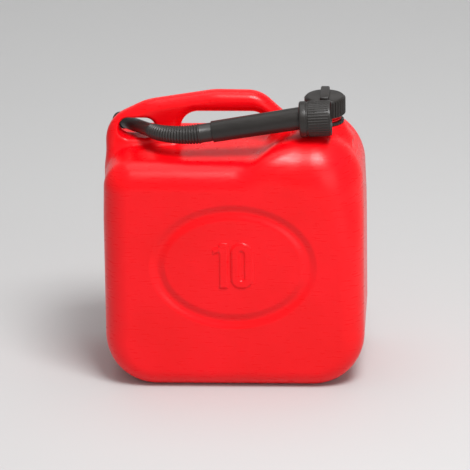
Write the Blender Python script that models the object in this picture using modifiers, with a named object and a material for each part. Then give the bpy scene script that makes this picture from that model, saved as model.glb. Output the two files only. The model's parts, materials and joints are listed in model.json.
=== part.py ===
"""Ten litre fuel can with a push-and-turn cap and a flexible pouring spout stored on it.

Frame: metres, +Z up, origin at the middle of the base. The broad face with the oval looks to -Y, and
the neck stands towards +X. A blow-moulded wall follows every outer surface at one thickness, so each
outer form below is also built a second time, moved inwards by the wall, and taken out of the first.
"""
import math

import bmesh
import bpy
from mathutils import Matrix, Vector

# ---------------------------------------------------------------- fits
CLEARANCE = 0.0004          # between pieces that rest on or in each other
BURY = 0.003                # how far one form runs into the next before they are joined

# ---------------------------------------------------------------- can body
BODY_WIDTH = 0.278
BODY_DEPTH = 0.165
BODY_TOP = 0.2516           # flat floor under the handle
WALL = 0.0022
LOWER_CORNER = 0.056        # corner radii of the broad face
UPPER_CORNER = 0.034
RIM_RADIUS = 0.027          # edge between the broad faces and the sides

SHOULDER_RISE = 0.0243      # raised shoulder that carries the neck
SHOULDER_WIDTH = 0.122
SHOULDER_ROUND = 0.056
SHOULDER_RIM = 0.050
SHOULDER_DEEP = 0.130       # height of the form, most of it inside the block
SHOULDER_INSET = 0.0005     # its sides stand this far inside the block's

HANDLE_RISE = 0.0594        # top of the handle over the floor
HANDLE_DEPTH = 0.024
HANDLE_ROUND = 0.0105
HANDLE_SIDE_INSET = 0.0004  # the handle's left side stands this far inside the body's
HANDLE_ROOT = 0.060         # how deep the handle's blade runs into the block
HANDLE_END = 0.066          # right end of the blade, inside the raised shoulder
HANDLE_OUTLINE = (          # rounded corners of its top edge: place along X, depth below the top, radius
    (0.066, 0.0370, 0.030),
    (0.0275, 0.0007, 0.034),
    (-0.022, 0.0, 0.080),
    (-0.095, 0.0095, 0.060),
    (None, 0.0320, 0.036),  # on the handle's left side
)
GRIP_LEFT = -0.058          # opening for the fingers
GRIP_RIGHT = 0.037
GRIP_BAR = 0.0228           # height of the bar over the opening
GRIP_ROUND = 0.019

OVAL_WIDTH = 0.162          # middle of the groove round the broad face
OVAL_HEIGHT = 0.124
OVAL_LEVEL = 0.1399         # height of the oval's centre
GROOVE_RADIUS = 0.020
GROOVE_DEPTH = 0.0016

DIGIT_HEIGHT = 0.051
DIGIT_STROKE = 0.0080
DIGIT_RELIEF = 0.0012
DIGIT_ROOT = 0.0010         # how deep the digits start in the wall
DIGIT_LEVEL = 0.1415
ONE_WIDTH = 0.0165
ONE_FLAG = 0.012            # how far the flag of the 1 comes down
ZERO_WIDTH = 0.0225
DIGIT_GAP = 0.0022

# ---------------------------------------------------------------- neck
NECK_FROM_SIDE = 0.0427     # neck's axis from the body's right side
NECK_BORE = 0.0132          # radii
NECK_ROOT = 0.0156
NECK_CREST = 0.0168
NECK_COLLAR = 0.0165
NECK_BEAD = 0.0173
NECK_HEIGHT = 0.0212
NECK_FOOT = 0.0205
NECK_SKIRT = 0.030
NECK_SKIRT_DROP = 0.017
THREAD_START = 0.0100       # first turn's height over the shoulder
THREAD_PITCH = 0.004
THREAD_TURNS = 2.0
THREAD_SECTION = 0.0013
BEAD_HEIGHT = 0.0018
RING_HEIGHT = 0.0032        # tamper ring
RING_RADIUS = 0.0204
RING_FIT = 0.0004           # room round the collar

# ---------------------------------------------------------------- cap
SEAL_THICKNESS = 0.0020
SEAL_MARGIN = 0.0005
THREAD_BORE = 0.0177        # female threads of the inner cap and of the spout nut
FEMALE_CREST = 0.01715
FEMALE_SECTION = 0.0009
CAP_RADIUS = 0.0220
CAP_SKIRT = 0.0180          # from the underside of the roof down to the rim
CAP_WALL = 0.0016
CAP_ROOF = 0.0018
CAP_RIB = 0.0009
CAP_RIB_WIDTH = 0.0016
CAP_RIBS = 36
CAP_EDGE = 0.0024
CAP_BEAD = 0.0008           # lip that keeps the inner cap in
INNER_CAP_ROOF = 0.0018
LUG_COUNT = 6
LUG_HEIGHT = 0.0007
LUG_RADIUS = 0.0125
LUG_SIZE = (0.0060, 0.0024)
PUSH_GAP = 0.0004           # between the lugs while the outer cap turns freely
GRIP_RIB_WIDTH = 0.0096
GRIP_RIB_HEIGHT = 0.0042
GRIP_RIB_LENGTH = 0.0375
GRIP_RIB_ROUND = 0.0013

# ---------------------------------------------------------------- spout
NUT_RADIUS = 0.0192
NUT_LENGTH = 0.0336
NUT_SHOULDER = 0.0030
NUT_HOLE = 0.0140
NUT_TILT = math.radians(3.2)
NUT_HANG = 0.0012           # the loose nut hangs this far below the tube's axis
NUT_PLAY = 0.0022           # along the axis, between its shoulder and the flange
NUT_COLLAR = 0.0075
NUT_GROOVE = 0.0018
NUT_GROOVE_DEPTH = 0.0007
NUT_RIB = 0.0005
NUT_RIB_WIDTH = 0.0014
NUT_RIBS = 36
NUT_THREAD_START = 0.0130
NUT_FROM_NECK = 0.0255      # its shoulder's face to the left of the neck's axis
NUT_FROM_CAP = 0.0053       # gap between the nut and the cap

TUBE_START_X = -0.0220      # socket end of the rigid tube
TUBE_OVER_NUT = 0.0095      # its axis there, over the floor and the nut's radius, so the nut clears the shoulder
TUBE_RISE = math.radians(9.5)
TUBE_RADIUS_LOW = 0.0114
TUBE_RADIUS_HIGH = 0.0121
TUBE_BORE = 0.0094
SOCKET_DEPTH = 0.0115
FLANGE_RADIUS = 0.0149
FLANGE_THICKNESS = 0.0025
GASKET_THICKNESS = 0.0020
GASKET_MARGIN = 0.0006      # the gasket's edges stand inside the flange's

NOZZLE_FROM_SIDE = 0.0344   # where it crosses the handle, from the body's left side
NOZZLE_LIFT = 0.0185        # and over the floor
NOZZLE_TURN = math.radians(55.0)    # its heading, from -X towards +Y
NOZZLE_DROP = math.radians(6.0)
NOZZLE_BEFORE = 0.030       # length in front of the crossing, and behind it
NOZZLE_BEHIND = 0.037
NOZZLE_RADIUS = 0.0074
NOZZLE_TIP_RADIUS = 0.0070
NOZZLE_BORE = 0.0045
SPIGOT_RADIUS = 0.0055
SPIGOT_LENGTH = 0.0060
STOPPER_WALL = 0.0009
STOPPER_LENGTH = 0.0104     # how far it reaches over the nozzle
STOPPER_ROOF = 0.0016
SLOT_MARGIN = 0.0020        # room round the nozzle in the handle's slot, enough for the stopper
SLOT_HEADROOM = 0.0010      # extra room over it

HOSE_CREST_LOW = 0.0081     # at the nozzle
HOSE_CREST_HIGH = 0.0108    # at the collar
HOSE_RIB_DEPTH = 0.0010
HOSE_RIB_PITCH = 0.0033
HOSE_COLLAR_RADIUS = 0.0100
HOSE_COLLAR_WALL = 0.0014
HOSE_COLLAR_SHOWS = 0.0130  # plain end between the ribs and the tube
HOSE_PULL = 0.36            # how far the hose leaves each end along its axis, as a share of its reach

# ---------------------------------------------------------------- places that follow
NECK_X = BODY_WIDTH / 2.0 - NECK_FROM_SIDE
SHOULDER_TOP = BODY_TOP + SHOULDER_RISE
HANDLE_TOP = BODY_TOP + HANDLE_RISE
NECK_TOP = SHOULDER_TOP + NECK_HEIGHT
RING_BOTTOM = SHOULDER_TOP + CLEARANCE
BEAD_BOTTOM = RING_BOTTOM + RING_HEIGHT + CLEARANCE

SEAL_BOTTOM = NECK_TOP + CLEARANCE
INNER_ROOF_UNDER = SEAL_BOTTOM + SEAL_THICKNESS + CLEARANCE
INNER_ROOF_TOP = INNER_ROOF_UNDER + INNER_CAP_ROOF
OUTER_ROOF_UNDER = INNER_ROOF_TOP + 2.0 * LUG_HEIGHT + PUSH_GAP
OUTER_TOP = OUTER_ROOF_UNDER + CAP_ROOF
OUTER_RIM = OUTER_ROOF_UNDER - CAP_SKIRT
OUTER_BORE = CAP_RADIUS - CAP_RIB - CAP_WALL
INNER_CAP_RADIUS = OUTER_BORE - CLEARANCE
INNER_RIM = OUTER_RIM + CAP_BEAD + CLEARANCE

TUBE_AXIS = Vector((math.cos(TUBE_RISE), 0.0, math.sin(TUBE_RISE)))
TUBE_Y = -(CAP_RADIUS + NUT_FROM_CAP + NUT_RADIUS)
TUBE_START = Vector((TUBE_START_X, TUBE_Y, BODY_TOP + NUT_RADIUS + TUBE_OVER_NUT))
NUT_FACE_ALONG = (NECK_X - NUT_FROM_NECK - TUBE_START_X) / math.cos(TUBE_RISE)
TUBE_LENGTH = NUT_FACE_ALONG + NUT_SHOULDER + NUT_PLAY + FLANGE_THICKNESS
NUT_AXIS = Vector((math.cos(NUT_TILT), 0.0, math.sin(NUT_TILT)))
NUT_FACE = TUBE_START + NUT_FACE_ALONG * TUBE_AXIS - Vector((0.0, 0.0, NUT_HANG))
SOCKET_RADIUS = HOSE_COLLAR_RADIUS + CLEARANCE

NOZZLE_AXIS = Vector((-math.cos(NOZZLE_TURN) * math.cos(NOZZLE_DROP),
                      math.sin(NOZZLE_TURN) * math.cos(NOZZLE_DROP), -math.sin(NOZZLE_DROP)))
NOZZLE_THROUGH = Vector((-BODY_WIDTH / 2.0 + NOZZLE_FROM_SIDE, 0.0, BODY_TOP + NOZZLE_LIFT))
NOZZLE_ROOT = NOZZLE_THROUGH - NOZZLE_BEFORE * NOZZLE_AXIS
NOZZLE_LENGTH = NOZZLE_BEFORE + NOZZLE_BEHIND
HOSE_BORE_LOW = SPIGOT_RADIUS + 2.0 * CLEARANCE   # the bend of the hose takes up some of the room
HOSE_BORE_HIGH = HOSE_COLLAR_RADIUS - HOSE_COLLAR_WALL

# ---------------------------------------------------------------- fineness of round forms
CORNER_STEPS = 7
RIM_STEPS = 5
ROUND_STEPS = 48
TUBE_STEPS = 32
OVAL_STEPS = 56
HOSE_SIDES = 3              # bevel resolution

RED = (0.80, 0.004, 0.012)
BLACK = (0.022, 0.021, 0.021)
RUBBER = (0.012, 0.012, 0.012)
PALE_SEAL = (0.62, 0.60, 0.55)



# ---------------------------------------------------------------- scene helpers
def clear_scene():
    for obj in list(bpy.data.objects):
        bpy.data.objects.remove(obj, do_unlink=True)


def new_collection(name):
    collection = bpy.data.collections.new(name)
    bpy.context.scene.collection.children.link(collection)
    return collection


def plastic(name, colour, roughness):
    material = bpy.data.materials.new(name)
    material.use_nodes = True
    shader = material.node_tree.nodes["Principled BSDF"]
    shader.inputs["Base Color"].default_value = (*colour, 1.0)
    shader.inputs["Roughness"].default_value = roughness
    shader.inputs["Metallic"].default_value = 0.0
    return material


def new_object(name, data, collection, place=None):
    obj = bpy.data.objects.new(name, data)
    collection.objects.link(obj)
    if place is not None:
        obj.matrix_world = place
    return obj


def mesh_object(name, bm, collection, place=None):
    mesh = bpy.data.meshes.new(name)
    bm.normal_update()
    bm.to_mesh(mesh)
    bm.free()
    return new_object(name, mesh, collection, place)


def make_helper(obj):
    """Cutters and joined forms stay in the scene as wires, and never render."""
    obj.hide_render = True
    obj.display_type = "WIRE"
    return obj


def combine(target, other, operation):
    modifier = target.modifiers.new(other.name, "BOOLEAN")
    modifier.operation = operation
    modifier.object = make_helper(other)
    modifier.solver = "EXACT"
    return target


def join(target, *others):
    for other in others:
        combine(target, other, "UNION")
    return target


def cut(target, *others):
    for other in others:
        combine(target, other, "DIFFERENCE")
    return target


def finish(obj, material):
    """Gives a node its material, and shades its round faces smooth."""
    obj.data.materials.clear()
    obj.data.materials.append(material)
    obj.data.shade_smooth()
    obj.data.set_sharp_from_angle(angle=math.radians(35.0))
    return obj


def towards(direction, point):
    """Places local +Z along a direction, with local +Y kept as level as it can be."""
    z = direction.normalized()
    x = z.cross(Vector((0.0, 1.0, 0.0))).normalized()
    y = z.cross(x)
    turn = Matrix((x, y, z)).transposed().to_4x4()
    return Matrix.Translation(point) @ turn


# ---------------------------------------------------------------- outlines in the XZ plane
def inset_corners(corners, inset):
    """Moves each side of a convex outline inwards. A corner is (x, z, radius), counter-clockwise."""
    moved = []
    count = len(corners)
    for i, (x, z, radius) in enumerate(corners):
        before = Vector(corners[i - 1][:2])
        here = Vector((x, z))
        after = Vector(corners[(i + 1) % count][:2])
        d1 = (here - before).normalized()
        d2 = (after - here).normalized()
        n1 = Vector((-d1.y, d1.x))
        n2 = Vector((-d2.y, d2.x))
        along = (n2 - n1).dot(n1) / d2.dot(n1) if abs(d2.dot(n1)) > 1e-9 else 0.0
        moved.append((*(here + inset * (n2 - along * d2)), max(radius - inset, 0.0)))
    return moved


def rounded_outline(corners, steps=CORNER_STEPS):
    """The outline's points, each corner rounded with an arc of its own radius."""
    points = []
    count = len(corners)
    for i, (x, z, radius) in enumerate(corners):
        here = Vector((x, z))
        if radius <= 0.0:
            points.append(here)
            continue
        to_before = (Vector(corners[i - 1][:2]) - here).normalized()
        to_after = (Vector(corners[(i + 1) % count][:2]) - here).normalized()
        half = to_before.angle(to_after) / 2.0
        reach = radius / math.tan(half)
        centre = here + (to_before + to_after).normalized() * radius / math.sin(half)
        first = here + to_before * reach - centre
        last = here + to_after * reach - centre
        sweep = first.angle_signed(last)
        for k in range(steps + 1):
            points.append(centre + Matrix.Rotation(-sweep * k / steps, 2) @ first)
    return points


def box_corners(x0, x1, z0, z1, lower_left, lower_right, upper_right, upper_left):
    return [(x0, z0, lower_left), (x1, z0, lower_right), (x1, z1, upper_right), (x0, z1, upper_left)]


def prism(name, points, y0, y1, collection, rim=0.0):
    """An outline in XZ run from y0 to y1, with its two rims rounded."""
    bm = bmesh.new()
    face = bm.faces.new([bm.verts.new((p.x, y0, p.y)) for p in points])
    run = bmesh.ops.extrude_face_region(bm, geom=[face])
    moved = [v for v in run["geom"] if isinstance(v, bmesh.types.BMVert)]
    bmesh.ops.translate(bm, verts=moved, vec=(0.0, y1 - y0, 0.0))
    bmesh.ops.recalc_face_normals(bm, faces=bm.faces)
    if rim > 0.0:
        rims = [e for e in bm.edges if abs(e.verts[0].co.y - e.verts[1].co.y) < 1e-9]
        bmesh.ops.bevel(bm, geom=rims, offset=rim, offset_type="OFFSET", segments=RIM_STEPS,
                        profile=0.5, affect="EDGES", clamp_overlap=False)
    return mesh_object(name, bm, collection)


def turned(name, profile, collection, steps=ROUND_STEPS, place=None):
    """A profile of (radius, z) points turned about the local Z axis. It runs down the outer side."""
    bm = bmesh.new()
    verts = [bm.verts.new((r, 0.0, z)) for r, z in profile]
    closed = profile[0][0] > 0.0 or profile[-1][0] > 0.0
    for a, b in zip(verts, verts[1:] + verts[:1] if closed else verts[1:]):
        bm.edges.new((a, b))
    obj = mesh_object(name, bm, collection, place)
    screw = obj.modifiers.new("Turn", "SCREW")
    screw.angle = 2.0 * math.pi
    screw.steps = steps
    screw.render_steps = steps
    screw.use_merge_vertices = True
    screw.merge_threshold = 0.00001
    return obj


def swept(name, points, radii, collection, sides=2, cyclic=False):
    """A tube along the points as a closed mesh, with a radius of its own at each point."""
    curve = bpy.data.curves.new(name, "CURVE")
    curve.dimensions = "3D"
    curve.bevel_depth = 0.001
    curve.bevel_resolution = sides
    curve.use_fill_caps = not cyclic
    spline = curve.splines.new("POLY")
    spline.points.add(len(points) - 1)
    for point, place, radius in zip(spline.points, points, radii):
        point.co = (*place, 1.0)
        point.radius = radius / curve.bevel_depth
    spline.use_cyclic_u = cyclic
    guide = new_object(name + "_guide", curve, collection)
    bpy.context.view_layer.update()
    evaluated = guide.evaluated_get(bpy.context.evaluated_depsgraph_get())
    mesh = bpy.data.meshes.new_from_object(evaluated)
    place = guide.matrix_world.copy()
    bpy.data.objects.remove(guide, do_unlink=True)
    bm = bmesh.new()
    bm.from_mesh(mesh)
    bpy.data.meshes.remove(mesh)
    bmesh.ops.remove_doubles(bm, verts=bm.verts, dist=0.000001)
    bmesh.ops.recalc_face_normals(bm, faces=bm.faces)
    return mesh_object(name, bm, collection, place)


def cylinder(name, radius, z0, z1, collection, steps=ROUND_STEPS, place=None, top_radius=None):
    top = radius if top_radius is None else top_radius
    return turned(name, [(0.0, z1), (top, z1), (radius, z0), (0.0, z0)], collection, steps, place)


def block(name, size, centre, collection, place=None, round_radius=0.0):
    bm = bmesh.new()
    bmesh.ops.create_cube(bm, size=1.0, matrix=Matrix.Translation(centre) @ Matrix.Diagonal((*size, 1.0)))
    if round_radius > 0.0:
        bmesh.ops.bevel(bm, geom=list(bm.edges), offset=round_radius, offset_type="OFFSET", segments=3,
                        profile=0.5, affect="EDGES", clamp_overlap=True)
    return mesh_object(name, bm, collection, place)


def helix(radius, z0, pitch, turns, steps_per_turn=24):
    count = int(turns * steps_per_turn)
    return [
        Vector((radius * math.cos(2.0 * math.pi * i / steps_per_turn),
                radius * math.sin(2.0 * math.pi * i / steps_per_turn),
                z0 + pitch * i / steps_per_turn))
        for i in range(count + 1)
    ]


# ---------------------------------------------------------------- can body
def handle_outline(inset):
    left = -BODY_WIDTH / 2.0 + HANDLE_SIDE_INSET
    root = BODY_TOP - HANDLE_ROOT
    corners = [(left, root, 0.0), (HANDLE_END, root, 0.0)]
    corners += [(left if x is None else x, HANDLE_TOP - drop, radius) for x, drop, radius in HANDLE_OUTLINE]
    return rounded_outline(inset_corners(corners, inset))


def grip_cutter(tag, grow, helpers):
    """Finger opening. It ends inside the block, so that the floor under the handle stays whole."""
    corners = box_corners(GRIP_LEFT, GRIP_RIGHT, BODY_TOP - 2.0 * BURY, HANDLE_TOP - GRIP_BAR,
                          0.0, 0.0, GRIP_ROUND, GRIP_ROUND)
    return prism(tag + "_grip", rounded_outline(inset_corners(corners, -grow)),
                 -HANDLE_DEPTH, HANDLE_DEPTH, helpers)


def slot_cutter(tag, grow, helpers):
    """Slot of the handle that the nozzle lies in, as wide as its slanted way through needs."""
    room = NOZZLE_RADIUS + SLOT_MARGIN
    slant = HANDLE_DEPTH / 2.0 / math.tan(NOZZLE_TURN)
    half_width = slant + room / math.sin(NOZZLE_TURN)
    fall = HANDLE_DEPTH / 2.0 * math.tan(NOZZLE_DROP) / math.sin(NOZZLE_TURN)
    half_height = room + fall
    x, z = NOZZLE_THROUGH.x, NOZZLE_THROUGH.z
    top = z + half_height + SLOT_HEADROOM
    bottom = z - half_height
    radius = (top - bottom) / 2.0 - 0.0002
    corners = box_corners(x - half_width, x + half_width, bottom, top, radius, radius, radius, radius)
    return prism(tag + "_slot", rounded_outline(inset_corners(corners, -grow)),
                 -HANDLE_DEPTH, HANDLE_DEPTH, helpers)


def oval_ring(tag, grow, side, helpers):
    """Ring whose edge presses the oval groove into a broad face: -1 is the front, +1 the back."""
    radius = GROOVE_RADIUS + grow
    bpy.ops.mesh.primitive_torus_add(major_segments=OVAL_STEPS, minor_segments=40,
                                     major_radius=OVAL_WIDTH / 2.0, minor_radius=radius,
                                     rotation=(math.pi / 2.0, 0.0, 0.0))
    ring = bpy.context.object
    mesh = ring.data
    mesh.transform(ring.matrix_world)
    bpy.data.objects.remove(ring, do_unlink=True)
    half_w, half_h = OVAL_WIDTH / 2.0, OVAL_HEIGHT / 2.0
    out = side * (BODY_DEPTH / 2.0 + GROOVE_RADIUS - GROOVE_DEPTH)
    for vertex in mesh.vertices:
        x, y, z = vertex.co
        angle = math.atan2(z, x)
        offset = math.hypot(x, z) - half_w
        normal = Vector((math.cos(angle) * half_h, math.sin(angle) * half_w)).normalized()
        vertex.co = (half_w * math.cos(angle) + offset * normal.x, y + out,
                     OVAL_LEVEL + half_h * math.sin(angle) + offset * normal.y)
    return new_object(f"{tag}_oval_{'front' if side < 0 else 'back'}", mesh, helpers)


def body_form(tag, inset, helpers):
    """Everything the wall follows: block, raised shoulder, handle and oval, moved inwards by the inset."""
    half_width, half_depth = BODY_WIDTH / 2.0, BODY_DEPTH / 2.0
    corners = box_corners(-half_width, half_width, 0.0, BODY_TOP,
                          LOWER_CORNER, LOWER_CORNER, UPPER_CORNER, UPPER_CORNER)
    form = prism(tag, rounded_outline(inset_corners(corners, inset)),
                 -half_depth + inset, half_depth - inset, helpers, RIM_RADIUS - inset)

    corners = box_corners(half_width - SHOULDER_WIDTH, half_width - SHOULDER_INSET,
                          SHOULDER_TOP - SHOULDER_DEEP, SHOULDER_TOP, *(4 * [SHOULDER_ROUND]))
    depth = half_depth - SHOULDER_INSET - inset
    shoulder = prism(tag + "_shoulder", rounded_outline(inset_corners(corners, inset)),
                     -depth, depth, helpers, SHOULDER_RIM - inset)

    handle = prism(tag + "_handle", handle_outline(inset), -HANDLE_DEPTH / 2.0 + inset,
                   HANDLE_DEPTH / 2.0 - inset, helpers, HANDLE_ROUND - inset)
    cut(handle, grip_cutter(tag, inset, helpers), slot_cutter(tag, inset, helpers))
    join(form, shoulder, handle)
    return cut(form, oval_ring(tag, inset, -1, helpers), oval_ring(tag, inset, 1, helpers))


def neck_form(helpers):
    """Solid neck with its foot on the raised shoulder, the bead over the tamper ring, and the thread."""
    place = Matrix.Translation((NECK_X, 0.0, SHOULDER_TOP))
    bead = BEAD_BOTTOM - SHOULDER_TOP
    neck = turned("neck", [
        (0.0, NECK_HEIGHT), (NECK_ROOT, NECK_HEIGHT),
        (NECK_ROOT, bead + BEAD_HEIGHT), (NECK_BEAD, bead + 0.6 * BEAD_HEIGHT), (NECK_BEAD, bead),
        (NECK_COLLAR, bead), (NECK_COLLAR, 0.0), (NECK_FOOT, 0.0),
        (NECK_SKIRT, -NECK_SKIRT_DROP), (0.0, -NECK_SKIRT_DROP)], helpers, place=place)
    route = helix(NECK_CREST - THREAD_SECTION, THREAD_START, THREAD_PITCH, THREAD_TURNS)
    thread = swept("neck_thread", route, len(route) * [THREAD_SECTION], helpers, sides=1)
    thread.matrix_world = place
    return join(neck, thread)


def digit_forms(helpers):
    """A raised 1 and 0, side by side in the middle of the oval."""
    face = -BODY_DEPTH / 2.0
    low = DIGIT_LEVEL - DIGIT_HEIGHT / 2.0
    high = DIGIT_LEVEL + DIGIT_HEIGHT / 2.0
    left = -(ONE_WIDTH + DIGIT_GAP + ZERO_WIDTH) / 2.0
    stem = left + ONE_WIDTH
    one = [(left, high - ONE_FLAG), (left, high - ONE_FLAG - DIGIT_STROKE),
           (stem - DIGIT_STROKE, high - 1.6 * DIGIT_STROKE), (stem - DIGIT_STROKE, low),
           (stem, low), (stem, high), (stem - DIGIT_STROKE, high)]
    one = prism("digit_one", [Vector(p) for p in one], face - DIGIT_RELIEF, face + DIGIT_ROOT, helpers)
    x0 = stem + DIGIT_GAP
    corners = box_corners(x0, x0 + ZERO_WIDTH, low, high, *(4 * [0.42 * ZERO_WIDTH]))
    zero = prism("digit_zero", rounded_outline(corners), face - DIGIT_RELIEF, face + DIGIT_ROOT, helpers)
    hole = prism("digit_zero_hole", rounded_outline(inset_corners(corners, DIGIT_STROKE)),
                 face - 2.0 * DIGIT_RELIEF, face + 2.0 * DIGIT_ROOT, helpers)
    return one, cut(zero, hole)


def make_can_body(parts, helpers, material):
    outer = body_form("outer_form", 0.0, helpers)
    inner = body_form("inner_form", WALL, helpers)
    bore = cylinder("neck_bore", NECK_BORE, SHOULDER_TOP - NECK_SKIRT_DROP, NECK_TOP + BURY, helpers,
                    place=Matrix.Translation((NECK_X, 0.0, 0.0)))
    join(inner, bore)
    can = outer
    for collection in list(can.users_collection):
        collection.objects.unlink(can)
    parts.objects.link(can)
    can.name = "can_body"
    join(can, neck_form(helpers), *digit_forms(helpers))
    cut(can, inner)
    return finish(can, material)


# ---------------------------------------------------------------- cap on the neck
def make_tamper_ring(parts, material):
    bore = NECK_COLLAR + RING_FIT
    ring = turned("tamper_ring", [
        (bore, RING_HEIGHT), (RING_RADIUS - 0.25 * RING_HEIGHT, RING_HEIGHT),
        (RING_RADIUS, 0.7 * RING_HEIGHT), (RING_RADIUS, 0.0), (bore, 0.0)], parts,
        place=Matrix.Translation((NECK_X, 0.0, RING_BOTTOM)))
    return finish(ring, material)


def make_cap_seal(parts, material):
    seal = cylinder("cap_seal", THREAD_BORE - SEAL_MARGIN, 0.0, SEAL_THICKNESS, parts,
                    place=Matrix.Translation((NECK_X, 0.0, SEAL_BOTTOM)))
    return finish(seal, material)


def lug_ring(name, z0, z1, turn, helpers):
    """Short radial lugs on one level, spread evenly, as one helper."""
    bm = bmesh.new()
    for i in range(LUG_COUNT):
        spin = Matrix.Rotation(turn + 2.0 * math.pi * i / LUG_COUNT, 4, "Z")
        move = Matrix.Translation((LUG_RADIUS, 0.0, (z0 + z1) / 2.0))
        size = Matrix.Diagonal((*LUG_SIZE, z1 - z0, 1.0))
        bmesh.ops.create_cube(bm, size=1.0, matrix=spin @ move @ size)
    return mesh_object(name, bm, helpers)


def rib_ring(name, radius, depth, width, count, z0, z1, helpers):
    """Straight grip ribs round a barrel, as one helper. They start inside the barrel's wall."""
    bm = bmesh.new()
    for i in range(count):
        spin = Matrix.Rotation(2.0 * math.pi * i / count, 4, "Z")
        move = Matrix.Translation((radius - depth, 0.0, (z0 + z1) / 2.0))
        size = Matrix.Diagonal((2.0 * depth, width, z1 - z0, 1.0))
        bmesh.ops.create_cube(bm, size=1.0, matrix=spin @ move @ size)
    return mesh_object(name, bm, helpers)


def female_thread(name, z0, helpers):
    route = helix(FEMALE_CREST + FEMALE_SECTION, z0, THREAD_PITCH, THREAD_TURNS)
    return swept(name, route, len(route) * [FEMALE_SECTION], helpers, sides=1)


def make_cap_inner(parts, helpers, material):
    place = Matrix.Translation((NECK_X, 0.0, INNER_RIM))
    roof, under = INNER_ROOF_TOP - INNER_RIM, INNER_ROOF_UNDER - INNER_RIM
    cap = turned("cap_inner", [
        (0.0, roof), (INNER_CAP_RADIUS, roof), (INNER_CAP_RADIUS, 0.0),
        (THREAD_BORE, 0.0), (THREAD_BORE, under), (0.0, under)], parts, place=place)
    lugs = lug_ring("inner_lugs", roof - LUG_HEIGHT, roof + LUG_HEIGHT, 0.0, helpers)
    thread = female_thread("inner_cap_thread", 0.25 * THREAD_PITCH, helpers)
    for form in (lugs, thread):
        form.matrix_world = place
    return finish(join(cap, lugs, thread), material)


def make_cap_outer(parts, helpers, material):
    place = Matrix.Translation((NECK_X, 0.0, OUTER_RIM))
    top, under = OUTER_TOP - OUTER_RIM, OUTER_ROOF_UNDER - OUTER_RIM
    radius = CAP_RADIUS - CAP_RIB
    edge = [(radius - CAP_EDGE * (1.0 - math.sin(a)), top - CAP_EDGE * (1.0 - math.cos(a)))
            for a in (math.pi / 2.0 * k / 4.0 for k in range(5))]
    cap = turned("cap_outer", [(0.0, top), *edge, (radius, 0.0), (OUTER_BORE - CAP_BEAD, 0.0),
                               (OUTER_BORE - CAP_BEAD, CAP_BEAD), (OUTER_BORE, CAP_BEAD),
                               (OUTER_BORE, under), (0.0, under)], parts, place=place)
    ribs = rib_ring("cap_ribs", CAP_RADIUS, CAP_RIB, CAP_RIB_WIDTH, CAP_RIBS,
                    CAP_BEAD, top - CAP_EDGE, helpers)
    lugs = lug_ring("outer_lugs", under - LUG_HEIGHT, under + LUG_HEIGHT, 0.0, helpers)
    grip = block("cap_grip", (GRIP_RIB_WIDTH, GRIP_RIB_LENGTH, GRIP_RIB_HEIGHT + CAP_ROOF / 2.0),
                 (0.0, 0.0, top + GRIP_RIB_HEIGHT / 2.0 - CAP_ROOF / 4.0), helpers,
                 round_radius=GRIP_RIB_ROUND)
    for form in (ribs, lugs, grip):
        form.matrix_world = place
    return finish(join(cap, ribs, lugs, grip), material)


# ---------------------------------------------------------------- spout
def make_spout_nut(parts, helpers, material):
    """Loose union nut: local +Z runs from its shoulder to its mouth."""
    place = towards(NUT_AXIS, NUT_FACE)
    barrel = NUT_RADIUS - NUT_RIB
    groove = NUT_RADIUS - NUT_GROOVE_DEPTH - NUT_RIB
    start = NUT_COLLAR + NUT_GROOVE
    nut = turned("spout_nut", [
        (THREAD_BORE, NUT_LENGTH), (barrel, NUT_LENGTH), (barrel, start), (groove, start),
        (groove, NUT_COLLAR), (NUT_RADIUS, NUT_COLLAR), (NUT_RADIUS, NUT_SHOULDER / 2.0),
        (NUT_RADIUS - NUT_SHOULDER / 2.0, 0.0), (NUT_HOLE, 0.0), (NUT_HOLE, NUT_SHOULDER),
        (THREAD_BORE, NUT_SHOULDER)], parts, place=place)
    ribs = rib_ring("nut_ribs", NUT_RADIUS, NUT_RIB, NUT_RIB_WIDTH, NUT_RIBS,
                    start, NUT_LENGTH - NUT_GROOVE, helpers)
    thread = female_thread("nut_thread", NUT_THREAD_START, helpers)
    for form in (ribs, thread):
        form.matrix_world = place
    return finish(join(nut, ribs, thread), material)


def make_spout_tube(parts, material):
    """Rigid tube: local +Z runs from its socket to the flange that seals on the neck."""
    neck_of_flange = TUBE_LENGTH - FLANGE_THICKNESS
    tube = turned("spout_tube", [
        (TUBE_BORE, TUBE_LENGTH), (FLANGE_RADIUS, TUBE_LENGTH), (FLANGE_RADIUS, neck_of_flange),
        (TUBE_RADIUS_HIGH, neck_of_flange), (TUBE_RADIUS_LOW, 0.0), (SOCKET_RADIUS, 0.0),
        (SOCKET_RADIUS, SOCKET_DEPTH), (TUBE_BORE, SOCKET_DEPTH)], parts,
        steps=TUBE_STEPS, place=towards(TUBE_AXIS, TUBE_START))
    return finish(tube, material)


def make_spout_gasket(parts, material):
    outer, bore = FLANGE_RADIUS - GASKET_MARGIN, TUBE_BORE + GASKET_MARGIN
    gasket = turned("spout_gasket", [
        (bore, GASKET_THICKNESS), (outer, GASKET_THICKNESS), (outer, 0.0), (bore, 0.0)], parts,
        steps=TUBE_STEPS,
        place=towards(TUBE_AXIS, TUBE_START + (TUBE_LENGTH + CLEARANCE) * TUBE_AXIS))
    return finish(gasket, material)


def make_spout_nozzle(parts, material):
    """Rigid nozzle: local +Z runs from the hose to the tip, and the spigot below 0 holds the hose."""
    nozzle = turned("spout_nozzle", [
        (NOZZLE_BORE, NOZZLE_LENGTH), (NOZZLE_TIP_RADIUS, NOZZLE_LENGTH), (NOZZLE_RADIUS, 0.0),
        (SPIGOT_RADIUS, 0.0), (SPIGOT_RADIUS, -SPIGOT_LENGTH), (NOZZLE_BORE, -SPIGOT_LENGTH)], parts,
        steps=TUBE_STEPS, place=towards(NOZZLE_AXIS, NOZZLE_ROOT))
    return finish(nozzle, material)


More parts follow.
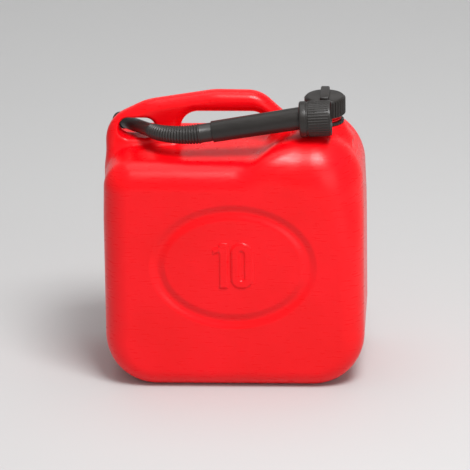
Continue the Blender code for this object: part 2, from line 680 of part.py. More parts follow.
def make_nozzle_stopper(parts, material):
    share = STOPPER_LENGTH / NOZZLE_LENGTH
    widest = NOZZLE_TIP_RADIUS + share * (NOZZLE_RADIUS - NOZZLE_TIP_RADIUS)
    bore = widest + CLEARANCE
    outer = bore + STOPPER_WALL
    roof = CLEARANCE + STOPPER_ROOF
    stopper = turned("nozzle_stopper", [
        (0.0, roof), (outer - STOPPER_ROOF / 2.0, roof), (outer, roof - STOPPER_ROOF / 2.0),
        (outer, -STOPPER_LENGTH), (bore, -STOPPER_LENGTH), (bore, CLEARANCE), (0.0, CLEARANCE)], parts,
        steps=TUBE_STEPS, place=towards(NOZZLE_AXIS, NOZZLE_ROOT + NOZZLE_LENGTH * NOZZLE_AXIS))
    return finish(stopper, material)


def bezier(p0, p1, p2, p3, t):
    s = 1.0 - t
    return s * s * s * p0 + 3.0 * s * s * t * p1 + 3.0 * s * t * t * p2 + t * t * t * p3


def hose_stations(count, p0, p3):
    """Points spaced evenly along the bend between the nozzle and the collar, and its length."""
    pull = HOSE_PULL * (p3 - p0).length
    p1 = p0 - pull * NOZZLE_AXIS
    p2 = p3 - pull * TUBE_AXIS
    fine = [bezier(p0, p1, p2, p3, i / 400.0) for i in range(401)]
    reach = [0.0]
    for a, b in zip(fine, fine[1:]):
        reach.append(reach[-1] + (b - a).length)
    stations = []
    k = 0
    for i in range(count + 1):
        want = reach[-1] * i / count
        while k < 399 and reach[k + 1] < want:
            k += 1
        part = (want - reach[k]) / (reach[k + 1] - reach[k])
        stations.append(fine[k].lerp(fine[k + 1], part))
    return stations, reach[-1]


def make_spout_hose(parts, helpers, material):
    """Ribbed hose from the nozzle's spigot to a plain collar that sits in the tube's socket."""
    p0 = NOZZLE_ROOT - CLEARANCE * NOZZLE_AXIS
    p3 = TUBE_START - HOSE_COLLAR_SHOWS * TUBE_AXIS
    length = hose_stations(8, p0, p3)[1]
    ribs = round(length / HOSE_RIB_PITCH)
    stations = hose_stations(4 * ribs, p0, p3)[0]
    radii = []
    for i in range(len(stations)):
        crest = HOSE_CREST_LOW + (HOSE_CREST_HIGH - HOSE_CREST_LOW) * i / (len(stations) - 1)
        radii.append(crest if i % 4 in (2, 3) else crest - HOSE_RIB_DEPTH)
    end = TUBE_START + (SOCKET_DEPTH - CLEARANCE) * TUBE_AXIS
    collar = [p3 + 0.0012 * TUBE_AXIS, end]
    hose = swept("spout_hose", stations + collar, radii + 2 * [HOSE_COLLAR_RADIUS], parts, HOSE_SIDES)

    inside = stations[::4]
    bores = [HOSE_BORE_LOW + (HOSE_BORE_HIGH - HOSE_BORE_LOW) * i / len(inside) for i in range(len(inside))]
    inside = [p0 + BURY * NOZZLE_AXIS] + inside + [end + BURY * TUBE_AXIS]
    bores = [HOSE_BORE_LOW] + bores + [HOSE_BORE_HIGH]
    return finish(cut(hose, swept("hose_bore", inside, bores, helpers, HOSE_SIDES)), material)


# ---------------------------------------------------------------- assembly
def main():
    clear_scene()
    parts = new_collection("fuel_can")
    helpers = new_collection("cutters")
    red = plastic("red_polyethylene", RED, 0.42)
    black = plastic("black_polyethylene", BLACK, 0.38)
    rubber = plastic("black_rubber", RUBBER, 0.70)
    seal = plastic("pale_foam", PALE_SEAL, 0.80)

    make_can_body(parts, helpers, red)
    make_tamper_ring(parts, black)
    make_cap_seal(parts, seal)
    make_cap_inner(parts, helpers, black)
    make_cap_outer(parts, helpers, black)
    make_spout_nut(parts, helpers, black)
    make_spout_tube(parts, black)
    make_spout_gasket(parts, rubber)
    make_spout_nozzle(parts, black)
    make_nozzle_stopper(parts, black)
    make_spout_hose(parts, helpers, black)
    bpy.context.view_layer.update()


main()
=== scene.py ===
"""Finished look of a red plastic fuel can with its cap and its stored pouring spout."""
import json
import logging
import math
from dataclasses import dataclass, field
from enum import Enum
from typing import Callable, Iterable, Sequence

import bmesh
import bpy
import numpy as np
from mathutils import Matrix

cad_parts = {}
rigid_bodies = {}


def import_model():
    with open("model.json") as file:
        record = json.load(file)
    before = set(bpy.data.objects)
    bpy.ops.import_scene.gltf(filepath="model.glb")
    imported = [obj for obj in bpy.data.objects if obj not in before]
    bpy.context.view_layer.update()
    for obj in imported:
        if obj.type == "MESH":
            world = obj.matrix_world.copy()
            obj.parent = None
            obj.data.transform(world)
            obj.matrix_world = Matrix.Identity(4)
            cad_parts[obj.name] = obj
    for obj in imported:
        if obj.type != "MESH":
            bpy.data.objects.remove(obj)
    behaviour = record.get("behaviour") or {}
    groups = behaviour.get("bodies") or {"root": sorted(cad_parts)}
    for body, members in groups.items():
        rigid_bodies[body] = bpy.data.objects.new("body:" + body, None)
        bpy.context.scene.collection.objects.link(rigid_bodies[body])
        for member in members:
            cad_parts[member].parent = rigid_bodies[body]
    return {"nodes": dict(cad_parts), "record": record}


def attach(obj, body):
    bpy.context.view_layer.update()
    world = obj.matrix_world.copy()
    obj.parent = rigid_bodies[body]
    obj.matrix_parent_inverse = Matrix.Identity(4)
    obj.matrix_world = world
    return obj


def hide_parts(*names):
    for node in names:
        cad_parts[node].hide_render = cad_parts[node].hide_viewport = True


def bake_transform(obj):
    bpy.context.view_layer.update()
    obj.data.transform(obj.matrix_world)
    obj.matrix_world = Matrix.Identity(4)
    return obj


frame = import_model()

import openvdb
from mathutils import Matrix, Quaternion, Vector

LOG = logging.getLogger("fuel_can")
MM = 0.001
NECK_X = 96.3                   # neck's axis, in millimetres as all sizes of the body
SHOULDER_TOP = 275.9            # foot of the neck
Colour = tuple[float, float, float]
Profile = list[tuple[float, float]]


# ---------------------------------------------------------------- finishes
class Grain(Enum):
    """How the surface left the mould: size of the grain in 1/m and its height in metres."""

    BLOWN = (520.0, 0.00011)
    INJECTED = (1500.0, 0.00005)
    CAST = (2600.0, 0.00008)


class Nodes:
    """Short way of building a shader tree."""

    def __init__(self, name: str) -> None:
        """Starts a material that holds only a Principled shader and its output."""
        self.material = bpy.data.materials.new(name)
        self.material.use_nodes = True
        self.tree = self.material.node_tree
        self.shader = self.tree.nodes["Principled BSDF"]
        self.place = self.add("ShaderNodeTexCoord").outputs["Object"]

    def add(self, kind: str, **settings: object) -> bpy.types.Node:
        """Adds a node. Settings that name an input set its value, and the rest set the node."""
        node = self.tree.nodes.new(kind)
        for key, value in settings.items():
            if hasattr(node, key):
                setattr(node, key, value)
            else:
                node.inputs[key.replace("_", " ")].default_value = value
        return node

    def link(self, source: bpy.types.NodeSocket, target: bpy.types.NodeSocket) -> None:
        """Joins an output to an input."""
        self.tree.links.new(source, target)

    def noise(self, scale: float, detail: float,
              stretch: Sequence[float] = (1.0, 1.0, 1.0)) -> bpy.types.NodeSocket:
        """Adds a noise on the object's own coordinates.

        Args:
            scale: Cells for each metre.
            detail: Octaves.
            stretch: Scale along each axis.

        Returns:
            The noise's value.
        """
        mapping = self.add("ShaderNodeMapping")
        mapping.inputs["Scale"].default_value = stretch
        noise = self.add("ShaderNodeTexNoise", Scale=scale, Detail=detail, Roughness=0.55)
        self.link(self.place, mapping.inputs["Vector"])
        self.link(mapping.outputs[0], noise.inputs["Vector"])
        return noise.outputs["Fac"]

    def spread(self, value: bpy.types.NodeSocket, low: float, high: float,
               start: float = 0.3, end: float = 0.7) -> bpy.types.NodeSocket:
        """Maps a value from start..end to low..high and returns the result."""
        node = self.add("ShaderNodeMapRange", interpolation_type="SMOOTHSTEP")
        for key, number in (("From Min", start), ("From Max", end), ("To Min", low), ("To Max", high)):
            node.inputs[key].default_value = number
        self.link(value, node.inputs["Value"])
        return node.outputs["Result"]

    def between(self, factor: bpy.types.NodeSocket, first: Colour, second: Colour) -> bpy.types.NodeSocket:
        """Mixes two colours by a factor and returns the colour."""
        node = self.add("ShaderNodeMix", data_type="RGBA")
        node.inputs[6].default_value = (*first, 1.0)
        node.inputs[7].default_value = (*second, 1.0)
        self.link(factor, node.inputs[0])
        return node.outputs[2]

    def bump(self, height: bpy.types.NodeSocket, distance: float, strength: float,
             under: bpy.types.NodeSocket | None = None) -> bpy.types.NodeSocket:
        """Turns a height into a normal, on top of another bump where one is given."""
        node = self.add("ShaderNodeBump", Strength=strength, Distance=distance)
        self.link(height, node.inputs["Height"])
        if under is not None:
            self.link(under, node.inputs["Normal"])
        return node.outputs["Normal"]


@dataclass(frozen=True)
class Moulded:
    """A moulded polymer: tone that drifts a little, fine grain, faint rubbing marks."""

    name: str
    tone: Colour
    drift: Colour
    roughness: float
    grain: Grain
    gloss: float = 0.5
    glow: float = 0.0
    seam: bool = False
    rubbed: float = 0.05

    def make(self) -> bpy.types.Material:
        """Builds the material and returns it."""
        n = Nodes(self.name)
        cloud = n.noise(11.0, 3.0)
        n.link(n.between(n.spread(cloud, 0.0, 1.0), self.tone, self.drift), n.shader.inputs["Base Color"])
        marks = n.noise(60.0, 5.0, (1.0, 1.0, 7.0))
        n.link(n.spread(marks, self.roughness - self.rubbed, self.roughness + self.rubbed),
               n.shader.inputs["Roughness"])
        scale, height = self.grain.value
        normal = n.bump(n.noise(scale, 2.0), height, 0.35)
        if self.seam:
            normal = n.bump(self._parting_line(n), 0.0004, 0.5, normal)
        n.link(normal, n.shader.inputs["Normal"])
        n.shader.inputs["IOR"].default_value = 1.5
        n.shader.inputs["Specular IOR Level"].default_value = self.gloss
        if self.glow > 0.0:
            n.shader.inputs["Subsurface Weight"].default_value = self.glow
            n.shader.inputs["Subsurface Radius"].default_value = (1.0, 0.25, 0.15)
            n.shader.inputs["Subsurface Scale"].default_value = 0.004
        return n.material

    @staticmethod
    def _parting_line(n: Nodes) -> bpy.types.NodeSocket:
        """Thin raised line where the two halves of the mould met, in the plane y = 0."""
        split = n.add("ShaderNodeSeparateXYZ")
        n.link(n.place, split.inputs[0])
        size = n.add("ShaderNodeMath", operation="ABSOLUTE")
        n.link(split.outputs["Y"], size.inputs[0])
        return n.spread(size.outputs[0], 1.0, 0.0, 0.0002, 0.0009)


@dataclass(frozen=True)
class Finishes:
    """All finishes of the object."""

    red: bpy.types.Material
    black: bpy.types.Material
    hose: bpy.types.Material
    rubber: bpy.types.Material
    foam: bpy.types.Material

    @classmethod
    def make(cls) -> "Finishes":
        """Builds every finish once."""
        return cls(
            red=Moulded("blown_red_polyethylene", (0.93, 0.001, 0.007), (0.87, 0.0005, 0.004), 0.31,
                        Grain.BLOWN, gloss=0.30, glow=0.12, seam=True).make(),
            black=Moulded("moulded_black_polyethylene", (0.013, 0.011, 0.010), (0.021, 0.018, 0.016), 0.36,
                          Grain.INJECTED, gloss=0.4).make(),
            hose=Moulded("soft_black_polyethylene", (0.017, 0.015, 0.014), (0.027, 0.024, 0.022), 0.38,
                         Grain.INJECTED, gloss=0.45).make(),
            rubber=Moulded("black_nitrile_rubber", (0.012, 0.012, 0.012), (0.022, 0.022, 0.021), 0.68,
                           Grain.CAST).make(),
            foam=Moulded("pale_foam_seal", (0.66, 0.64, 0.58), (0.58, 0.56, 0.50), 0.82, Grain.CAST,
                         glow=0.05).make(),
        )


# ---------------------------------------------------------------- meshes
def towards(direction: Vector, point: Vector) -> Matrix:
    """Places local +Z along a direction, with local +Y kept level.

    Args:
        direction: Where local +Z points.
        point: Where the local origin goes.

    Returns:
        The placement in the world.
    """
    z = direction.normalized()
    x = z.cross(Vector((0.0, 1.0, 0.0))).normalized()
    y = z.cross(x)
    return Matrix.Translation(point) @ Matrix((x, y, z)).transposed().to_4x4()


def rounded(profile: Sequence[tuple[float, float, float]], steps: int = 4) -> Profile:
    """Rounds the corners of a profile.

    Args:
        profile: (radius, height, corner radius) for each corner.
        steps: Facets at each rounded corner.

    Returns:
        The profile as (radius, height) points, the first and last kept as they are.
    """
    out: Profile = []
    last = len(profile) - 1
    for i, (r, z, bend) in enumerate(profile):
        if bend <= 0.0 or i in (0, last):
            out.append((r, z))
            continue
        here = Vector((r, z))
        back = (Vector(profile[i - 1][:2]) - here).normalized()
        ahead = (Vector(profile[i + 1][:2]) - here).normalized()
        half = 0.5 * math.acos(max(-1.0, min(1.0, back.dot(ahead))))
        reach = bend / math.tan(half)
        centre = here + (back + ahead).normalized() * (bend / math.sin(half))
        first, second = here + back * reach - centre, here + ahead * reach - centre
        for k in range(steps + 1):
            spot = centre + first.lerp(second, k / steps).normalized() * bend
            out.append((spot.x, spot.y))
    return out


def lathe(profile: Profile, segments: int = 96) -> bpy.types.Mesh:
    """Turns a profile about local Z.

    Args:
        profile: (radius, height) points running down the outer side. It closes on itself unless both
            ends lie on the axis.
        segments: Facets in a full turn.

    Returns:
        A mesh with its faces pointing outwards.
    """
    bm = bmesh.new()
    rings: list[list[bmesh.types.BMVert]] = []
    for r, z in profile:
        if r < 1e-7:
            rings.append([bm.verts.new((0.0, 0.0, z))])
            continue
        rings.append([bm.verts.new((r * math.cos(a), r * math.sin(a), z))
                      for a in (2.0 * math.pi * k / segments for k in range(segments))])
    pairs = list(zip(rings, rings[1:]))
    if profile[0][0] > 1e-7 or profile[-1][0] > 1e-7:
        pairs.append((rings[-1], rings[0]))
    for upper, lower in pairs:
        for k in range(segments):
            m = (k + 1) % segments
            corners = [upper[k % len(upper)], lower[k % len(lower)],
                       lower[m % len(lower)], upper[m % len(upper)]]
            bm.faces.new(list(dict.fromkeys(corners)))
    bmesh.ops.recalc_face_normals(bm, faces=bm.faces)
    return as_mesh(bm)


def as_mesh(bm: bmesh.types.BMesh, name: str = "form") -> bpy.types.Mesh:
    """Turns a bmesh into mesh data and frees it."""
    mesh = bpy.data.meshes.new(name)
    bm.to_mesh(mesh)
    bm.free()
    return mesh


def joined(meshes: Iterable[bpy.types.Mesh]) -> bpy.types.Mesh:
    """Puts several meshes in one and removes them."""
    bm = bmesh.new()
    for mesh in meshes:
        bm.from_mesh(mesh)
        bpy.data.meshes.remove(mesh)
    return as_mesh(bm)


def rounded_block(size: Vector, centre: Vector, bend: float, segments: int = 3) -> bpy.types.Mesh:
    """A box with all its edges rounded."""
    bm = bmesh.new()
    bmesh.ops.create_cube(bm, size=1.0, matrix=Matrix.Translation(centre) @ Matrix.Diagonal((*size, 1.0)))
    bmesh.ops.bevel(bm, geom=list(bm.edges), offset=bend, offset_type="OFFSET", segments=segments,
                    profile=0.5, affect="EDGES", clamp_overlap=True)
    return as_mesh(bm)


def piece(name: str, mesh: bpy.types.Mesh, material: bpy.types.Material, body: str | None,
          place: Matrix | None = None, replaces: Sequence[str] = (), sharp: float = 40.0,
          keep_normals: bool = False) -> bpy.types.Object:
    """Finishes a piece: its place goes into the mesh, and it rides on a body.

    Args:
        name: Name of the piece.
        mesh: Its mesh in local coordinates.
        material: Its finish.
        body: Body of the frame it rides on, or None for a piece that rides on no body.
        place: Where the mesh goes.
        replaces: Nodes of the frame that it stands for.
        sharp: Edges that turn by more than this many degrees stay sharp.
        keep_normals: Leaves the mesh's own normals as they are.

    Returns:
        The finished object.
    """
    mesh.name = name
    if place is not None:
        mesh.transform(place)
    mesh.materials.clear()
    mesh.materials.append(material)
    if not keep_normals:
        mesh.shade_smooth()
        mesh.set_sharp_from_angle(angle=math.radians(sharp))
    obj = bpy.data.objects.new(name, mesh)
    bpy.context.scene.collection.objects.link(obj)
    if body is not None:
        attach(obj, body)
    if replaces:
        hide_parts(*replaces)
    LOG.info("%s: %d faces on %s", name, len(mesh.polygons), body or "two bodies")
    return obj


# ---------------------------------------------------------------- repeats built with Geometry Nodes
class Generator:
    """A Geometry Nodes tree with named inputs that is run once and turned into a plain mesh."""

    KINDS = {float: "NodeSocketFloat", int: "NodeSocketInt", bpy.types.Material: "NodeSocketMaterial"}

    def __init__(self, name: str, inputs: dict[str, type]) -> None:
        """Starts a tree with a geometry input and output and the named inputs."""
        self.tree = bpy.data.node_groups.new(name, "GeometryNodeTree")
        face = self.tree.interface
        face.new_socket("Geometry", in_out="INPUT", socket_type="NodeSocketGeometry")
        self.ids = {key: face.new_socket(key, in_out="INPUT", socket_type=self.KINDS[kind]).identifier
                    for key, kind in inputs.items()}
        face.new_socket("Geometry", in_out="OUTPUT", socket_type="NodeSocketGeometry")
        self.given = self.tree.nodes.new("NodeGroupInput").outputs
        self.result = self.tree.nodes.new("NodeGroupOutput").inputs[0]

    def add(self, kind: str, settings: dict[str, object] | None = None,
            **links: object) -> bpy.types.NodeOutputs:
        """Adds a node.

        Args:
            kind: Its type.
            settings: Attributes of the node.
            links: For each input, with _ for a space, either a socket to join or a value.

        Returns:
            The node's outputs.
        """
        node = self.tree.nodes.new(kind)
        for key, value in (settings or {}).items():
            setattr(node, key, value)
        for key, value in links.items():
            spot = int(key[1:]) if key[0] == "i" and key[1:].isdigit() else key.replace("_", " ")
            socket = node.inputs[spot]
            if isinstance(value, bpy.types.NodeSocket):
                self.tree.links.new(value, socket)
            else:
                socket.default_value = value
        return node.outputs

    def math(self, operation: str, first: object, second: object = 0.0) -> bpy.types.NodeSocket:
        """Adds a maths node and returns its value."""
        return self.add("ShaderNodeMath", {"operation": operation}, i0=first, i1=second)[0]

    def close(self, geometry: bpy.types.NodeSocket) -> None:
        """Ends the tree: instances are made real and the material is set."""
        real = self.add("GeometryNodeRealizeInstances", Geometry=geometry)[0]
        done = self.add("GeometryNodeSetMaterial", Geometry=real, Material=self.given["Finish"])[0]
        self.tree.links.new(done, self.result)

    def run(self, start: bpy.types.Mesh | None = None, **values: object) -> bpy.types.Mesh:
        """Runs the tree on a mesh with these inputs and returns the result as a plain mesh."""
        base = start or bpy.data.meshes.new("start")
        holder = bpy.data.objects.new("generator", base)
        bpy.context.scene.collection.objects.link(holder)
        modifier = holder.modifiers.new("Generate", "NODES")
        modifier.node_group = self.tree
        for key, value in values.items():
            modifier[self.ids[key]] = value
        bpy.context.view_layer.update()
        evaluated = holder.evaluated_get(bpy.context.evaluated_depsgraph_get())
        mesh = bpy.data.meshes.new_from_object(evaluated)
        bpy.data.objects.remove(holder, do_unlink=True)
        bpy.data.meshes.remove(base)
        return mesh


def rib_generator() -> Generator:
    """Half-round grip ribs, spread evenly round a barrel that stands on local Z."""
    g = Generator("grip_ribs", {"Finish": bpy.types.Material, "Count": int, "Radius": float,
                                "Width": float, "Height": float, "Low": float, "High": float})
    length = g.math("SUBTRACT", g.given["High"], g.given["Low"])
    middle = g.math("MULTIPLY", g.math("ADD", g.given["High"], g.given["Low"]), 0.5)
    rib = g.add("GeometryNodeMeshCylinder", Vertices=10, Radius=1.0, Depth=length)["Mesh"]
    half = g.math("MULTIPLY", g.given["Width"], 0.5)
    size = g.add("ShaderNodeCombineXYZ", X=g.given["Height"], Y=half, Z=1.0)[0]
    rib = g.add("GeometryNodeTransform", Geometry=rib, Scale=size)[0]
    ring = g.add("GeometryNodeMeshCircle", Vertices=g.given["Count"], Radius=g.given["Radius"])[0]
    lift = g.add("ShaderNodeCombineXYZ", Z=middle)[0]
    spot = g.add("GeometryNodeInputPosition")[0]
    turn = g.add("FunctionNodeAlignRotationToVector", {"axis": "X"}, Vector=spot)[0]
    ribs = g.add("GeometryNodeInstanceOnPoints", Points=ring, Instance=rib, Rotation=turn)[0]
    g.close(g.add("GeometryNodeTransform", Geometry=ribs, Translation=lift)[0])
    return g


def thread_generator() -> Generator:
    """A screw thread: a rounded ridge on a helix about local Z."""
    g = Generator("thread", {"Finish": bpy.types.Material, "Radius": float, "Section": float,
                             "Turns": float, "Rise": float, "Start": float})
    route = g.add("GeometryNodeCurveSpiral", Resolution=48, Rotations=g.given["Turns"],
                  Start_Radius=g.given["Radius"], End_Radius=g.given["Radius"], Height=g.given["Rise"])[0]
    section = g.add("GeometryNodeCurvePrimitiveCircle", Resolution=8, Radius=g.given["Section"])[0]
    ridge = g.add("GeometryNodeCurveToMesh", Curve=route, Profile_Curve=section, Fill_Caps=True)[0]
    lift = g.add("ShaderNodeCombineXYZ", Z=g.given["Start"])[0]
    g.close(g.add("GeometryNodeTransform", Geometry=ridge, Translation=lift)[0])
    return g


def bellows_generator() -> Generator:
    """A ribbed hose along a path, whose ribs widen from one end to the other."""
    g = Generator("bellows", {"Finish": bpy.types.Material, "Ribs": int, "First": float, "Last": float,
                              "Depth": float})
    curve = g.add("GeometryNodeMeshToCurve", Mesh=g.given["Geometry"])[0]
    count = g.math("ADD", g.math("MULTIPLY", g.given["Ribs"], 10.0), 1.0)
    curve = g.add("GeometryNodeResampleCurve", Curve=curve, Count=count)[0]
    along = g.add("GeometryNodeSplineParameter")["Factor"]
    crest = g.add("ShaderNodeMapRange", Value=along, To_Min=g.given["First"], To_Max=g.given["Last"])[0]
    turns = g.math("MULTIPLY", g.math("MULTIPLY", along, g.given["Ribs"]), 2.0 * math.pi)
    wave = g.math("MULTIPLY", g.math("ADD", g.math("COSINE", turns), 1.0), 0.5)
    dip = g.math("MULTIPLY", g.math("POWER", wave, 1.6), g.given["Depth"])
    radius = g.math("SUBTRACT", crest, dip)
    section = g.add("GeometryNodeCurvePrimitiveCircle", Resolution=48, Radius=1.0)[0]
    g.close(g.add("GeometryNodeCurveToMesh", Curve=curve, Profile_Curve=section, Scale=radius,
                  Fill_Caps=True)[0])
    return g


# ---------------------------------------------------------------- fields of the blown body, in millimetres
Field = np.ndarray


def smooth_union(a: Field, b: Field, k: float) -> Field:
    """Union of two solids with a fillet about k wide."""
    h = np.maximum(k - np.abs(a - b), 0.0) / k
    return np.minimum(a, b) - 0.25 * k * h * h


def smooth_both(a: Field, b: Field, k: float) -> Field:
    """Intersection of two solids with an edge softened over about k."""
    return -smooth_union(-a, -b, k)


def round_both(a: Field, b: Field, r: Field | float) -> Field:
    """Intersection of two solids with an edge of radius r."""
    u, v = np.maximum(a + r, 0.0), np.maximum(b + r, 0.0)
    return np.minimum(np.maximum(a, b) + r, 0.0) + np.sqrt(u * u + v * v) - r


def ramp(value: Field, start: float, end: float) -> Field:
    """Smooth step from 0 at start to 1 at end."""
    t = np.clip((value - start) / (end - start), 0.0, 1.0)
    return t * t * (3.0 - 2.0 * t)


def rounded_rect(x: Field, z: Field, low: tuple[float, float], high: tuple[float, float],
                 corners: tuple[float, float, float, float]) -> Field:
    """Distance to a rectangle whose lower left, lower right, upper right and upper left corners are round."""
    half = (0.5 * (high[0] - low[0]), 0.5 * (high[1] - low[1]))
    px, pz = x - 0.5 * (high[0] + low[0]), z - 0.5 * (high[1] + low[1])
    ll, lr, ur, ul = corners
    r = np.where(px > 0.0, np.where(pz > 0.0, ur, lr), np.where(pz > 0.0, ul, ll))
    qx, qz = np.abs(px) - half[0] + r, np.abs(pz) - half[1] + r
    return (np.minimum(np.maximum(qx, qz), 0.0)
            + np.sqrt(np.maximum(qx, 0.0) ** 2 + np.maximum(qz, 0.0) ** 2) - r)


def polygon(x: Field, z: Field, points: Profile) -> Field:
    """Distance to a closed polygon, negative inside."""
    best = np.full(np.broadcast(x, z).shape, 1e9)
    inside = np.ones(best.shape)
    for (ax, az), (bx, bz) in zip(points, points[1:] + points[:1]):
        ex, ez = bx - ax, bz - az
        wx, wz = x - ax, z - az
        t = np.clip((wx * ex + wz * ez) / (ex * ex + ez * ez), 0.0, 1.0)
        best = np.minimum(best, (wx - ex * t) ** 2 + (wz - ez * t) ** 2)
        above, below = az <= z, bz > z
        left = ex * wz > ez * wx
        crossing = (above & below & left) | (~above & ~below & ~left)
        inside = np.where(crossing, -inside, inside)
    return inside * np.sqrt(best)


@dataclass
class BlownBody:
    """The hollow body: tank, raised shoulder, handle with its grip and slot, oval and number."""

    width: float = 278.0
    depth: float = 165.0
    floor: float = 251.6
    shoulder_top: float = SHOULDER_TOP
    wall: float = 2.2
    lower_corner: float = 56.0
    left_corner: float = 31.0
    right_corner: float = 57.0
    base_rim: float = 20.0
    side_rim: float = 27.0
    shoulder_rim: float = 50.0
    shoulder_bend: float = 56.0
    pocket_end: float = 38.5        # where the floor under the handle meets the shoulder, in the middle
    pocket_curl: float = 24.0       # how far that line has moved left at the broad faces
    pocket_reach: float = 69.0
    pocket_power: float = 2.2
    shoulder_fillet: float = 12.0
    top_draw: float = 0.8           # how far the sides lean in near the top
    draw_span: tuple[float, float] = (180.0, 225.0)         # heights over which they do
    corner_span: tuple[float, float] = (-20.0, 60.0)        # along X, from left_corner to right_corner
    base_span: tuple[float, float] = (10.0, 70.0)           # heights, from base_rim to side_rim
    shoulder_span_x: tuple[float, float] = (0.0, 75.0)      # from side_rim to shoulder_rim
    shoulder_span_z: tuple[float, float] = (150.0, 235.0)
    open_top: float = 600.0         # out of the body's reach
    open_shoulder: tuple[float, float] = (800.0, -400.0)
    handle_top: float = 311.0
    handle_depth: float = 24.0
    handle_round: float = 10.5
    handle_fillet: float = 9.0
    handle_outline: tuple[tuple[float, float, float], ...] = (
        (-138.6, 191.6, 0.0), (66.0, 191.6, 0.0), (66.0, 274.0, 30.0), (27.5, 310.3, 34.0),
        (-22.0, 311.0, 80.0), (-95.0, 299.3, 60.0), (-138.6, 277.6, 36.0))
    grip: tuple[float, float, float, float, float] = (-58.0, 37.0, 239.6, 288.2, 19.0)
    slot: tuple[float, float, float, float] = (-124.5, -84.8, 259.2, 282.0)
    slot_lip: float = 5.0
    neck_x: float = NECK_X
    neck_bore: float = 13.2
    neck_collar: float = 16.5
    neck_lap: float = 3.0           # how far the body's own collar reaches up into the neck
    skirt: tuple[float, float, float] = (20.5, 30.0, 17.0)
    skirt_fillet: float = 7.0
    face_span: tuple[float, float] = (60.0, 78.0)           # along Y, where the faces' relief fades in
    oval: tuple[float, float, float] = (81.0, 62.0, 139.9)
    groove_width: float = 9.5
    groove_depth: float = 2.9
    number_height: float = 51.0
    number_level: float = 141.5
    number_stroke: float = 8.6
    number_relief: float = 1.5
    number_edge: float = 1.0
    one_left: float = -14.6
    one_corners: tuple[float, float, float, float] = (1.0, 1.0, 1.5, 3.0)
    one_flag: tuple[tuple[float, float], ...] = (           # places along X and under the number's top
        (-21.5, -12.5), (-14.0, -9.0), (-11.0, -0.4), (-17.0, -5.0), (-21.5, -6.5))
    zero: tuple[float, float] = (-2.3, 20.6)
    zero_round: float = 11.0
    zero_hole: float = 2.8
    cell: float = 1.9               # spacing of the grid that the skin is drawn from
    margin: float = 6.0
    step: float = 0.04
    merge: float = 0.00002          # in metres
    most_triangles: int = 185000

    def _tank(self, x: Field, y: Field, z: Field) -> Field:
        """Tank with its flat floor under the handle and its raised shoulder."""
        half = 0.5 * self.width - self.top_draw * ramp(z, *self.draw_span)
        side = rounded_rect(x * (0.5 * self.width / half), z, (-0.5 * self.width, 0.0),
                            (0.5 * self.width, self.open_top),
                            (self.lower_corner, self.lower_corner, 0.0, 0.0))
        line = self.pocket_end - self.pocket_curl * (np.abs(y) / self.pocket_reach) ** self.pocket_power
        reach = math.sqrt(self.shoulder_bend ** 2
                          - (self.floor - self.shoulder_top + self.shoulder_bend) ** 2)
        wall = line + reach - self.shoulder_bend
        right, under = self.open_shoulder
        shoulder = rounded_rect(x - wall, z, (0.0, under), (right, self.shoulder_top),
                                (0.0, 0.0, 0.0, self.shoulder_bend))
        top = smooth_union(z - self.floor, shoulder, self.shoulder_fillet)
        corner = self.left_corner + (self.right_corner - self.left_corner) * ramp(x, *self.corner_span)
        outline = round_both(side, top, corner)
        rim = self.base_rim + (self.side_rim - self.base_rim) * ramp(z, *self.base_span)
        rim = rim + ((self.shoulder_rim - self.side_rim) * ramp(x, *self.shoulder_span_x)
                     * ramp(z, *self.shoulder_span_z))
        return round_both(outline, np.abs(y) - 0.5 * self.depth, rim)

    def _handle(self, x: Field, y: Field, z: Field) -> Field:
        """Handle: a blade that stands on the tank, with the grip and the slot cut through."""
        edge = polygon(x, z, self._smoothed(self.handle_outline))
        x0, x1, z0, z1, bend = self.grip
        hole = rounded_rect(x, z, (x0, z0), (x1, z1), (0.0, 0.0, bend, bend))
        blade = round_both(np.maximum(edge, -hole), np.abs(y) - 0.5 * self.handle_depth, self.handle_round)
        x0, x1, z0, z1 = self.slot
        bend = 0.5 * (z1 - z0) - 0.1
        slot = rounded_rect(x, z, (x0, z0), (x1, z1), (bend, bend, bend, bend))
        return smooth_both(blade, -slot, self.slot_lip)

    @staticmethod
    def _smoothed(corners: Sequence[tuple[float, float, float]]) -> Profile:
        """Outline with each corner rounded to its own radius."""
        loop = [(x, z, 0.0) for x, z, _ in corners[-1:]] + list(corners) + [(*corners[0][:2], 0.0)]
        return rounded(loop, 8)[1:-1]

    def _oval(self, x: Field, z: Field) -> Field:
        """Depth of the groove round a broad face."""
        a, b, level = self.oval
        u, v = x / a, (z - level) / b
        size = np.sqrt(u * u + v * v) + 1e-6
        off = size * (size - 1.0) / np.sqrt((u / a) ** 2 + (v / b) ** 2 + 1e-12)
        across = np.clip(off / self.groove_width, -1.0, 1.0)
        return self.groove_depth * 0.5 * (1.0 + np.cos(math.pi * across))

    def _number(self, x: Field, z: Field) -> Field:
        """Height of the raised 10."""
        s, half = self.number_stroke, 0.5 * self.number_height
        low, high = self.number_level - half, self.number_level + half
        stem = rounded_rect(x, z, (self.one_left, low), (self.one_left + s, high), self.one_corners)
        flag = polygon(x, z, [(place, high + drop) for place, drop in self.one_flag])
        left, right = self.zero
        outer = rounded_rect(x, z, (left, low), (right, high), (self.zero_round,) * 4)
        inner = rounded_rect(x, z, (left + s, low + s), (right - s, high - s), (self.zero_hole,) * 4)
        shape = np.minimum(np.minimum(stem, flag), np.maximum(outer, -inner))
        return self.number_relief * ramp(-shape, -self.number_edge, self.number_edge)

